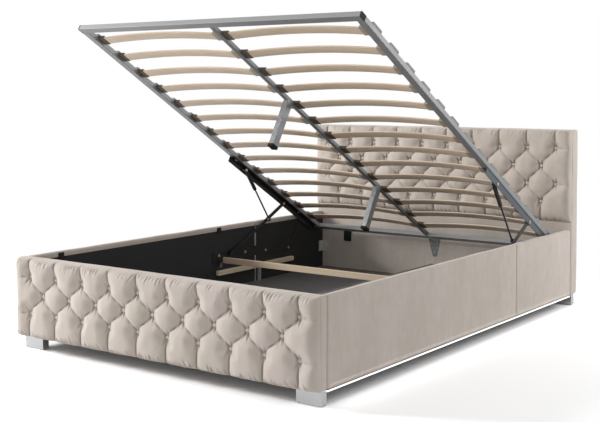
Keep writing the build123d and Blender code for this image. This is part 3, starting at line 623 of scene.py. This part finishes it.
def upholstered(name, low, high, radius, step, seed, swell, node, seams=(), flat=()):
    """A padded board. Swell is how far each big face stands out in its middle, for X, Y, Z:
    it falls with the fourth power of the way to the face's edges. Seams are (axis, place,
    depth): sewn lines round the board that draw the cloth in. Flat names directions, as
    (axis, sign), in which the board stays flat, flat_drop drawn in."""
    points, outward, faces = board_net(low, high, radius, step)
    middle = (np.array(low) + np.array(high)) / 2
    half = (np.array(high) - np.array(low)) / 2
    share = (points - middle) / half
    rise = np.zeros(len(points))
    for axis in range(3):
        others = [k for k in range(3) if k != axis]
        hump = np.prod(1 - np.clip(np.abs(share[:, others]), 0, 1) ** 4, axis=1)
        rise += np.abs(outward[:, axis]) * swell[axis] * hump
    rise += slow_waves(points, cloth_wave_height, cloth_wave_length, seed)
    for axis, sign in flat:
        rise = np.where(outward[:, axis] * sign > flat_facing, -flat_drop, rise)
    for axis, place, depth in seams:
        rise -= depth * np.exp(-(((points[:, axis] - place) / seam_width) ** 2))
    points = points + outward * rise[:, None]
    piece = add_piece(name, points, faces.tolist(), node, "velvet")


# %% [markdown]
# ## Rails and boards of the bed
# Each side rail has two sections that butt together, so their rounded ends make the upright
# seam on the outside. Inside, a rail stays flat for its lining. The footboard and the
# headboard carry the tufted pads, and the footboard's rounded front edge hides inside its
# pad, so that no groove shows between them. A flat cover closes the headboard below its pad.

# %% Rails, footboard and headboard
board_step = 0.014
rail_round = 0.009
rail_swell = (0.0012, 0.0, 0.0008)
rail_seed = 11
for side, inward in (("left", 1), ("right", -1)):
    for end in ("front", "rear"):
        node = f"side_rail_{side}_{end}"
        low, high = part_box(node)
        seed = rail_seed + len(node) + (side == "right") * 7
        upholstered(
            f"{side}_{end}_rail_velvet", low, high, rail_round, board_step, seed, rail_swell,
            node, flat=[(0, inward)],
        )

low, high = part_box("footboard_panel")
panel_round = 0.008
front = (low.x, low.y - panel_round, low.z)
upholstered(
    "footboard_velvet", front, high, panel_round, board_step, seed=41,
    swell=(0.001, 0.0, 0.001), node="footboard_panel",
)

low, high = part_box("headboard_panel")
cover_seam = (2, 0.304, 0.0022)
upholstered(
    "headboard_velvet", low, high, 0.011, board_step, seed=57,
    swell=(0.001, 0.0015, 0.001), node="headboard_panel", seams=[cover_seam],
)

low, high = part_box("headboard_lower_cover")
upholstered(
    "headboard_lower_velvet", low, high, 0.0026, 0.012, seed=63, swell=(0.0, 0.0008, 0.0),
    node="headboard_lower_cover",
)

# %% [markdown]
# ## Tufted pads
# Covered buttons pull the velvet down on a diagonal lattice. Between two neighbouring
# buttons the cloth folds into a pleat, and in each space between pleats the foam swells up
# into a pillow. At the top and bottom the pleats run straight to the edge. The pad is worked
# out as a depth over its back: a thin base, plus a crown that falls to nothing at each pleat.

# %% Where the buttons and pleats are
button_half_pitch = 0.072
last_column = 18
top_fade = 0.25
end_crease = 0.066
end_fade = 0.75


def tuft_pattern(low, high, top_margin, row_pitch, rows, slack):
    """Buttons as (x, z), and pleats as two such points, a strength and a fade. Long and short
    rows take turns. Every button is joined to the nearest ones in the next row, the outer rows
    to the edges above and below. From an end button a pleat fades towards the pad's end.
    Slack is how much weaker the pleats are that fall to the right."""
    buttons, pleats = [], []
    for row in range(rows):
        z = high.z - top_margin - row * row_pitch
        for column in range(row % 2, last_column + 1, 2):
            x = (column - last_column / 2) * button_half_pitch
            buttons.append((x, z))
            for turn in (-1, 1):
                if row + 1 < rows and 0 <= column + turn <= last_column:
                    end = (x + turn * button_half_pitch, z - row_pitch)
                    pleats.append(((x, z), end, 1.0 - slack * (turn > 0), 0.0))
            if row == 0:
                pleats.append(((x, z), (x, high.z), 1.0, top_fade))
            if row == rows - 1:
                pleats.append(((x, z), (x, low.z), 1.0, 0.0))
            if column in (0, last_column):
                end = (x + math.copysign(end_crease, x), z)
                pleats.append(((x, z), end, 1.0, end_fade))
    return np.array(buttons), pleats


print("buttons in a long row:", last_column // 2 + 1)

# %% [markdown]
# ## Pleats and small folds
# Sculpting each pillow by hand would take days, and no two pads could share it. So a pleat
# is only a line, and the depth beside it is a quarter circle of the distance from that line.
# Small folds show where the real cloth is gathered: above and below each button, and along
# the top and bottom edges. Each is a valley between two low ridges, drawn at random.

# %% One pleat, one fold, and all the folds of a pad
fold_turn = (0.1, 0.26)
fold_length = (0.028, 0.042)
fold_width = (0.0036, 0.0044)
fold_depth = (0.0042, 0.0066)
fold_start = (0.0062, 0.006)
edge_margin = 0.012
edge_lean = (-0.28, 0.16)
edge_fold_width = (0.003, 0.0048)
edge_fold_gap = (0.01, 0.019)
edge_inset = 0.004
wide_gap_chance = 0.16
wide_gap = 0.03
top_lengths, top_depths = (0.02, 0.05), (0.0015, 0.004)
bottom_lengths, bottom_depths = (0.016, 0.036), (0.005, 0.0095)


def pleat_distance(x, z, start, end, sway=0.0):
    """Distance from a pleat or fold, and how far along it a point lies, from 0 to 1. Sway
    adds one sine wave to the line, sideways, so that it leaves both ends more upright."""
    run_x, run_z = end[0] - start[0], end[1] - start[1]
    along = ((x - start[0]) * run_x + (z - start[1]) * run_z) / (run_x**2 + run_z**2)
    along = np.clip(along, 0, 1)
    share = along - sway * np.sin(2 * np.pi * along) / (2 * np.pi)
    return np.hypot(x - start[0] - share * run_x, z - start[1] - along * run_z), along


def quarter_round(distance, reach):
    """A quarter circle: 0 at distance 0, level and 1 from reach on."""
    share = np.clip(distance / reach, 0, 1)
    return np.sqrt(share * (2 - share))


def fold(x, z, start, end, width, depth):
    """A small fold: a valley with a low ridge on each side, deepest at its start."""
    across, along = pleat_distance(x, z, start, end)
    q = (across / width) ** 2
    return depth * (1 - along) ** 1.2 * (1 - q) * np.exp(-q / 2)


def gather_folds(low, high, buttons, draw):
    """Start, end, width and depth of each small fold: two above and two below each button,
    and a row along the top and the bottom edge, which now and then leaves a wide gap."""
    folds = []
    for x, z in buttons:
        for up in (-1, 1):
            for side in (-1, 1):
                turn = side * draw.uniform(*fold_turn)
                length = draw.uniform(*fold_length)
                start = (x + side * fold_start[0], z + up * fold_start[1])
                end = (start[0] + math.sin(turn) * length, z + up * math.cos(turn) * length)
                folds.append((start, end, draw.uniform(*fold_width), draw.uniform(*fold_depth)))
    for edge, inward, lengths, depths in (
        (high.z, -1, top_lengths, top_depths), (low.z, 1, bottom_lengths, bottom_depths)
    ):
        place = low.x + edge_margin
        while place < high.x - edge_margin:
            length = draw.uniform(*lengths)
            lean = draw.normal(*edge_lean)
            start = (place, edge + inward * edge_inset)
            end = (place + lean * length, edge + inward * length)
            folds.append((start, end, draw.uniform(*edge_fold_width), draw.uniform(*depths)))
            place += draw.uniform(*edge_fold_gap) + (draw.uniform() < wide_gap_chance) * wide_gap
    return folds


ways = np.array([0.1, 0.25, 0.5, 1.0])
print("a pillow's height", ways, "of its shoulder away:", quarter_round(ways, 1.0).round(2))

# %% [markdown]
# ## The pad's depth
# The crown is a product: each pleat multiplies it by its quarter circle, which is steep
# beside the pleat and level a few centimetres away. Where four pleats meet at a button the
# product is small, so the hollow round the button comes by itself. A second result tells
# the velvet where to paint shade: how deep in a pleat each point lies, a ring round each
# button and the small folds.

# %% Base, crown, hollows and folds
pillow_shoulder = 0.06
edge_roll = 0.026
end_roll = 0.045
base_round = 0.009
pad_base = 0.015
pad_crown = 0.0235
crown_share = 0.96
pillow_change = 0.07
pillow_wave = 0.13
pleat_floor = 0.08
pleat_sway = 0.36
pleat_shadow = 0.0042
button_hollow = 0.008
hollow_reach = 0.013
button_clear = 0.03
ring_shade = 0.4
ring_radius = 0.009
ring_width = 0.003
crease_limit = 0.005
crease_shade = 110


def pad_depth(x, z, low, high, buttons, pleats, seed, hem):
    """How far the pad stands out from its back: base plus crown, less hollows and folds.
    Hem is the distance over which the pad thins towards its lower edge. The second result
    is how deep in a pleat a point lies, from 0 to 1, used as painted shade, with more painted
    shade in a ring round each button and in the small folds."""
    crown, tuck = np.ones_like(x), np.zeros_like(x)
    for start, end, strength, fade in pleats:
        distance, along = pleat_distance(x, z, start, end, pleat_sway)
        present = strength * (1 - fade * along)
        crown *= 1 - present * (1 - quarter_round(distance, pillow_shoulder))
        # Painted shade along the pleat
        tuck = np.maximum(tuck, present * np.exp(-((distance / pleat_shadow) ** 2)))
    nearest = np.min([np.hypot(x - bx, z - bz) for bx, bz in buttons], axis=0)
    # Painted shade in a ring round each button
    ring = np.exp(-(((nearest - ring_radius) / ring_width) ** 2))
    tuck = np.maximum(tuck, ring_shade * ring)
    free = 1 - np.exp(-((nearest / button_clear) ** 2))
    crown = pleat_floor * free + (1 - pleat_floor * free) * crown
    side = np.minimum(x - low.x, high.x - x)
    brim = np.minimum((z - low.z) * base_round / hem, high.z - z)
    rolled = quarter_round(side, end_roll) * quarter_round(brim, edge_roll)
    thin = quarter_round(side, base_round) * quarter_round(brim, base_round)
    flat = np.stack([x.ravel(), np.zeros(x.size), z.ravel()], axis=1)
    uneven = 1 + slow_waves(flat, pillow_change, pillow_wave, seed).reshape(x.shape)
    depth = pad_base * thin + pad_crown * rolled * crown * uneven * crown_share
    depth -= button_hollow * np.exp(-((nearest / hollow_reach) ** 2))
    creases = np.zeros_like(x)
    for one in gather_folds(low, high, buttons, np.random.default_rng(seed)):
        creases += fold(x, z, *one)
    depth -= creases * thin
    # Painted shade in the small folds
    tuck = np.clip(tuck + np.clip(creases, 0, crease_limit) * crease_shade, 0, 1)
    return np.minimum(np.maximum(depth, 0.0), (pad_base + pad_crown) * thin), tuck


# %% [markdown]
# ## Let the cloth settle
# Velvet that is pulled down by buttons never lies as evenly as a formula. A coarse copy of
# the pad, held at its rim, buttons and pleats, goes through Blender's Cloth for twenty
# frames: it is cut a few percent too large, a light pressure pushes from behind, and so it
# swells and ripples between the pleats. How far each point moved is carried to the fine net,
# with a hyperbolic tangent as a soft limit, and the coarse copy is thrown away. Simulating
# the fine net itself would take minutes and blur the folds.

# %% Cloth simulation on a coarse net
settle_frames = 20
skip_across, skip_up = 3, 2
held_tuck = 0.3
cloth_quality = 6
cut_larger = 0.03
cloth_bending = 0.4
cloth_pressure = 2.0
most_move = np.array([0.0012, 0.0017, 0.0012])


def every(skip, count):
    """The numbers 0, skip, 2 * skip and so on below a count, and the last one below it."""
    return np.unique(np.append(np.arange(0, count, skip), count - 1))


def spread(picked, count):
    """Weights that carry values on the picked lines to every line, linear in between."""
    lines = np.arange(count)
    return np.stack([np.interp(lines, picked, one) for one in np.eye(len(picked))], axis=1)


def soften(values):
    """Each value becomes a quarter of its neighbours' sum and half of itself, both ways."""
    for axis in (0, 1):
        padded = np.concatenate(
            [values.take([0], axis), values, values.take([-1], axis)], axis=axis
        )
        count = values.shape[axis]
        before, after = (padded.take(np.arange(count) + shift, axis) for shift in (0, 2))
        values = (before + 2 * values + after) / 4
    return values


def simulate(points, faces, held):
    """Where Blender's Cloth takes the points in settle_frames. Held ones stay."""
    mesh = bpy.data.meshes.new("settling_cloth")
    mesh.from_pydata(points.tolist(), [], faces.tolist())
    copy = add_object("settling_cloth", mesh)
    group = copy.vertex_groups.new(name="held")
    group.add(np.flatnonzero(held).tolist(), 1.0, "REPLACE")
    cloth = copy.modifiers.new("settle", "CLOTH")
    cloth.point_cache.frame_end = settle_frames
    cloth.settings.quality = cloth_quality
    cloth.settings.vertex_group_mass = "held"
    cloth.settings.shrink_min = -cut_larger
    cloth.settings.bending_stiffness = cloth_bending
    cloth.settings.use_pressure = True
    cloth.settings.uniform_pressure_force = cloth_pressure
    cloth.settings.effector_weights.gravity = 0.0
    for step in range(1, settle_frames + 1):
        bpy.context.scene.frame_set(step)
    done = copy.evaluated_get(bpy.context.evaluated_depsgraph_get())
    places = np.empty(points.size, np.float32)
    done.data.vertices.foreach_get("co", places)
    bpy.data.objects.remove(copy)
    bpy.data.meshes.remove(mesh)
    bpy.context.scene.frame_set(1)
    return places.reshape(-1, 3)


def settle(x, z, depth, tuck, back):
    """How far the cloth moves each point of the net. It is worked out on some lines of the
    net, limited, softened and spread to the others, and fades where the pad is tucked."""
    rows, columns = every(skip_across, x.shape[0]), every(skip_up, x.shape[1])
    pick = np.ix_(rows, columns)
    points = np.stack([x[pick], back - depth[pick], z[pick]], axis=-1).reshape(-1, 3)
    held = tuck[pick] > held_tuck
    held[[0, 1, -2, -1], :] = True
    held[:, [0, 1, -2, -1]] = True
    places = simulate(points, net_faces(len(rows), len(columns))[:, ::-1], held)
    moved = (places - points).reshape(len(rows), len(columns), 3)
    print("the cloth moved by up to", round(float(np.abs(moved).max()) * 1000, 1), "mm")
    moved = soften(np.tanh(moved / most_move) * most_move)
    across, upward = spread(rows, x.shape[0]), spread(columns, x.shape[1])
    return np.einsum("ia,abk,jb->ijk", across, moved, upward) * (1 - tuck)[:, :, None]


# %% [markdown]
# ## Cut the pad to a net
# The net has a line every 2.4 mm across the pad and 3.6 mm up it, through the buttons.
# Near the rim the lines crowd together, because there the surface turns back to the board.
# A net that follows the buttons keeps their hollows round, which even squares wouldn't.

# %% Build both pads
rim_lines = 7
rim_reach = 0.009
pitch_lines = 30


def pad_lines(low, high, through, step):
    """Even lines through one place, with lines that crowd as squares towards both ends."""
    count = int((high - low) / step) + 2
    even = through + step * np.arange(-count, count + 1)
    even = even[(even > low + rim_reach) & (even < high - rim_reach)]
    crowd = rim_reach * (np.arange(rim_lines) / rim_lines) ** 2
    return np.concatenate([low + crowd, even, (high - crowd)[::-1]])


def tufted_pad(
    name, node, top_margin, row_pitch, rows, row_lines, seed, hem=base_round, slack=0.0
):
    """A pad with its buttons' places as result: a net of points at the back's Y less the
    pad's depth, closed behind by one face round the rim. Row_lines is how many lines of the
    net lie between two rows of buttons."""
    low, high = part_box(node)
    buttons, pleats = tuft_pattern(low, high, top_margin, row_pitch, rows, slack)
    across = pad_lines(low.x, high.x, 0.0, button_half_pitch / pitch_lines)
    upward = pad_lines(low.z, high.z, high.z - top_margin, row_pitch / row_lines)
    x, z = np.meshgrid(across, upward, indexing="ij")
    depth, tuck = pad_depth(x, z, low, high, buttons, pleats, seed, hem)
    points = np.stack([x, high.y - depth, z], axis=-1)
    points += settle(x, z, depth, tuck, high.y)
    faces = net_faces(len(across), len(upward)).tolist()
    number = np.arange(x.size).reshape(x.shape)
    rim = [number[0, :-1], number[:-1, -1], number[-1, :0:-1], number[:0:-1, 0]]
    faces.append(np.concatenate(rim).tolist())
    piece = add_piece(name, points.reshape(-1, 3), faces, node, "velvet")
    # The painted shade goes on the piece for the velvet to read
    shadow = piece.data.attributes.new("tuck", "FLOAT", "POINT")
    shadow.data.foreach_set("value", tuck.ravel().astype(np.float32))
    return buttons


footboard_buttons = tufted_pad(
    "footboard_tufted_pad", "footboard_pad", top_margin=0.072, row_pitch=0.0715, rows=3,
    row_lines=20, seed=101,
)
headboard_buttons = tufted_pad(
    "headboard_tufted_pad", "headboard_pad", top_margin=0.087, row_pitch=0.085, rows=4,
    row_lines=24, seed=202, hem=0.03, slack=0.4,
)

# %% [markdown]
# ## Covered buttons
# A covered button is a shallow metal dome with a disc of the same velvet stretched over it
# and tucked in behind; its finish is a lighter copy of that velvet, a painted highlight on
# the dome. Copies of one button would all look alike, so each is turned from the same
# profile in the same mesh, with a rim that is puckered its own way and a lean of its own.

# %% Turn the buttons
button_radius = 0.0088
button_rise = 0.009
button_points = 28
button_profile = (
    (0.0, 1.0), (0.25, 0.98), (0.5, 0.91), (0.72, 0.79), (0.88, 0.64), (0.97, 0.48),
    (1.0, 0.34), (0.98, 0.2), (0.9, 0.08), (0.78, 0.0),
)
pucker_depth = 0.02
pucker_waves = 11
button_lean = 0.05


def covered_buttons(name, node, places, seed):
    """One mesh with every button, each a turned profile of shares of radius and rise."""
    draw = np.random.default_rng(seed)
    floor_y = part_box(node)[1].y
    sides = np.array(button_profile[1:])
    ring = np.arange(button_points)
    angle = ring * 2 * np.pi / button_points
    points, faces = [], []
    for x, z in places:
        waves = np.cos(pucker_waves * angle + draw.uniform(0, 6))
        pucker = 1 + pucker_depth * waves * sides[:, :1] ** 3
        radius = button_radius * sides[:, :1] * pucker
        rise = button_rise * sides[:, 1:] * np.ones(button_points)
        lean_x, lean_z = draw.normal(0, button_lean, 2)
        local_x, local_z = radius * np.cos(angle), radius * np.sin(angle)
        y = floor_y - rise + local_x * lean_x + local_z * lean_z
        body = np.stack([x + local_x, y, z + local_z], axis=-1).reshape(-1, 3)
        first = sum(len(p) for p in points)
        points.append(np.concatenate([[[x, floor_y - button_rise, z]], body]))
        start = first + 1 + ring
        after = first + 1 + (ring + 1) % button_points
        faces += np.stack([np.full(button_points, first), start, after], axis=1).tolist()
        for row in range(len(sides) - 1):
            near, far = row * button_points, (row + 1) * button_points
            corners = [start + near, start + far, after + far, after + near]
            faces += np.stack(corners, axis=1).tolist()
        faces.append((start + (len(sides) - 1) * button_points).tolist())
    add_piece(name, np.concatenate(points), faces, node, "velvet_button")


covered_buttons("footboard_covered_buttons", "footboard_buttons", footboard_buttons, 301)
covered_buttons("headboard_covered_buttons", "headboard_buttons", headboard_buttons, 302)

# %% [markdown]
# ## Lining
# The rails are closed inside with a thin black cloth, stretched and stapled below the
# velvet. It could be one flat face, but stretched cloth still catches the light unevenly, so
# it is a sheet with two skins a millimetre apart and slow, shallow waves on the inner one.

# %% Stretch the lining
lining_round = 0.0004
lining_step = 0.02
lining_wave_height = 0.00022
lining_wave_length = 0.12
lining_seed = 71
strip_low, strip_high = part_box("rail_joint_strips")
for side in ("left", "right"):
    node = f"side_lining_{side}"
    low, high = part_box(node)
    sheets = {"front": (low.y, strip_low.y), "rear": (strip_high.y, high.y)}
    for end, (start, stop) in sheets.items():
        points, outward, faces = board_net(
            (low.x, start, low.z), (high.x, stop, high.z), lining_round, lining_step
        )
        inside = np.sign(low.x) * outward[:, 0] < 0
        seed = lining_seed + len(end) + len(side)
        wave = slow_waves(points, lining_wave_height, lining_wave_length, seed)
        points = points + outward * (wave * inside)[:, None]
        piece = add_piece(f"{side}_{end}_lining", points, faces.tolist(), node, "lining")

# %% [markdown]
# ## Floor
# The floor is a wide pale sheet that keeps the bed's shadow. To the camera it is white cloth
# near the bed, which the shadow darkens, and farther off it fades to the white of the
# backdrop, so no horizon shows. More light would do that too, but would bleach the velvet.
# So the cloth that only the camera sees is a little brighter than white.

# %% Lay the floor
floor_reach = 30.0
fade_start, fade_end = 1.45, 2.1
seen_floor_colour = 1.35
seen_floor_glow = 0.02
corners = np.array([(-1, -1, 0), (1, -1, 0), (1, 1, 0), (-1, 1, 0)]) * floor_reach
floor_mesh = bpy.data.meshes.new("studio_floor")
floor_mesh.from_pydata(corners.tolist(), [], [[0, 1, 2, 3]])
floor_finish = Finish("pale_floor", (0.86, 0.86, 0.86), 0.8)
floor_finish.put("Specular IOR Level", 0.0)
to_camera = floor_finish.node("ShaderNodeLightPath", output="Is Camera Ray")
spot = floor_finish.node("ShaderNodeTexCoord", output="Object")
away = floor_finish.node("ShaderNodeVectorMath", {"operation": "LENGTH"}, {0: spot}, "Value")
far = floor_finish.node(
    "ShaderNodeMapRange", {"interpolation_type": "SMOOTHSTEP"},
    {"Value": away, "From Min": fade_start, "From Max": fade_end},
)
white_cloth = floor_finish.node(
    "ShaderNodeBsdfDiffuse", inputs={"Color": (*[seen_floor_colour] * 3, 1)}
)
glow = floor_finish.node("ShaderNodeEmission", inputs={"Strength": seen_floor_glow})
near_floor = floor_finish.node("ShaderNodeAddShader", inputs=[white_cloth, glow])
far_floor = floor_finish.node("ShaderNodeEmission", inputs={"Strength": 1.0})
faded = floor_finish.node("ShaderNodeMixShader", inputs=[far, near_floor, far_floor])
plain = Signal(floor_finish, floor_finish.shader.outputs[0])
chosen = floor_finish.node("ShaderNodeMixShader", inputs=[to_camera, plain, faded])
floor_finish.feed(floor_finish.tree.nodes["Material Output"].inputs["Surface"], chosen)
floor_mesh.materials.append(floor_finish.material)
studio_floor = add_object("studio_floor", floor_mesh)
print("floor fades to white", fade_start, "to", fade_end, "m from the middle")

# %% [markdown]
# ## Backdrop and light
# The world is white to the camera and in reflections, and a softer white as light. One large
# lamp at the front left gives the pillows their shading, a weaker one behind lights the back
# and the base from above, and a small one at the right lightens that side towards the
# headboard. Two long, weak ones under the rails throw the strips' light on the floor, more
# evenly than the strips could.

# %% World and lamps
world_light = 0.54
world = bpy.data.worlds.new("studio")
world.use_nodes = True
bpy.context.scene.world = world
sky = Graph(world.node_tree)
camera_ray = sky.node("ShaderNodeLightPath", output="Is Camera Ray")
glossy_ray = sky.node("ShaderNodeLightPath", output="Is Glossy Ray")
soft, white = [
    sky.node("ShaderNodeBackground", inputs={"Color": (1, 1, 1, 1), "Strength": strength})
    for strength in (world_light, 1.0)
]
seen = camera_ray.math("MAXIMUM", glossy_ray)
choice = sky.node("ShaderNodeMixShader", inputs=[seen, soft, white])
sky.feed(world.node_tree.nodes["World Output"].inputs["Surface"], choice)


def soft_lamp(name, place, aim, size, power):
    """A lamp with a width and a height, at a place, facing an aim. Its tilt is the angle
    between straight down and the way to the aim, its turn that way's compass angle."""
    data = bpy.data.lights.new(name, "AREA")
    data.shape = "RECTANGLE"
    data.size, data.size_y = size
    data.energy = power
    lamp = add_object(name, data)
    lamp.location = place
    way = np.array(aim) - np.array(place)
    tilt = math.acos(-way[2] / np.linalg.norm(way))
    lamp.rotation_euler = (tilt, 0, math.atan2(-way[0], way[1]))


soft_lamp("key_lamp", (-5.0, -3.2, 2.7), (0, 0, 0.4), size=(1.5, 1.5), power=335)
soft_lamp("back_lamp", (3.2, 3.8, 3.4), (0, 0.4, 0.6), size=(2.0, 2.0), power=50)
soft_lamp("side_lamp", (2.1, 1.7, 1.2), (0.7, 0.7, 0.2), size=(0.8, 0.8), power=11)
glow_out, glow_up, glow_aim = 0.73, 0.078, 0.83
for side, sign in (("left", -1), ("right", 1)):
    place, aim = (sign * glow_out, 0, glow_up), (sign * glow_aim, 0, 0)
    soft_lamp(f"strip_glow_{side}", place, aim, size=(2.0, 0.02), power=0.32)
bpy.context.scene.view_settings.view_transform = "Standard"
print("lamps:", len(bpy.data.lights))
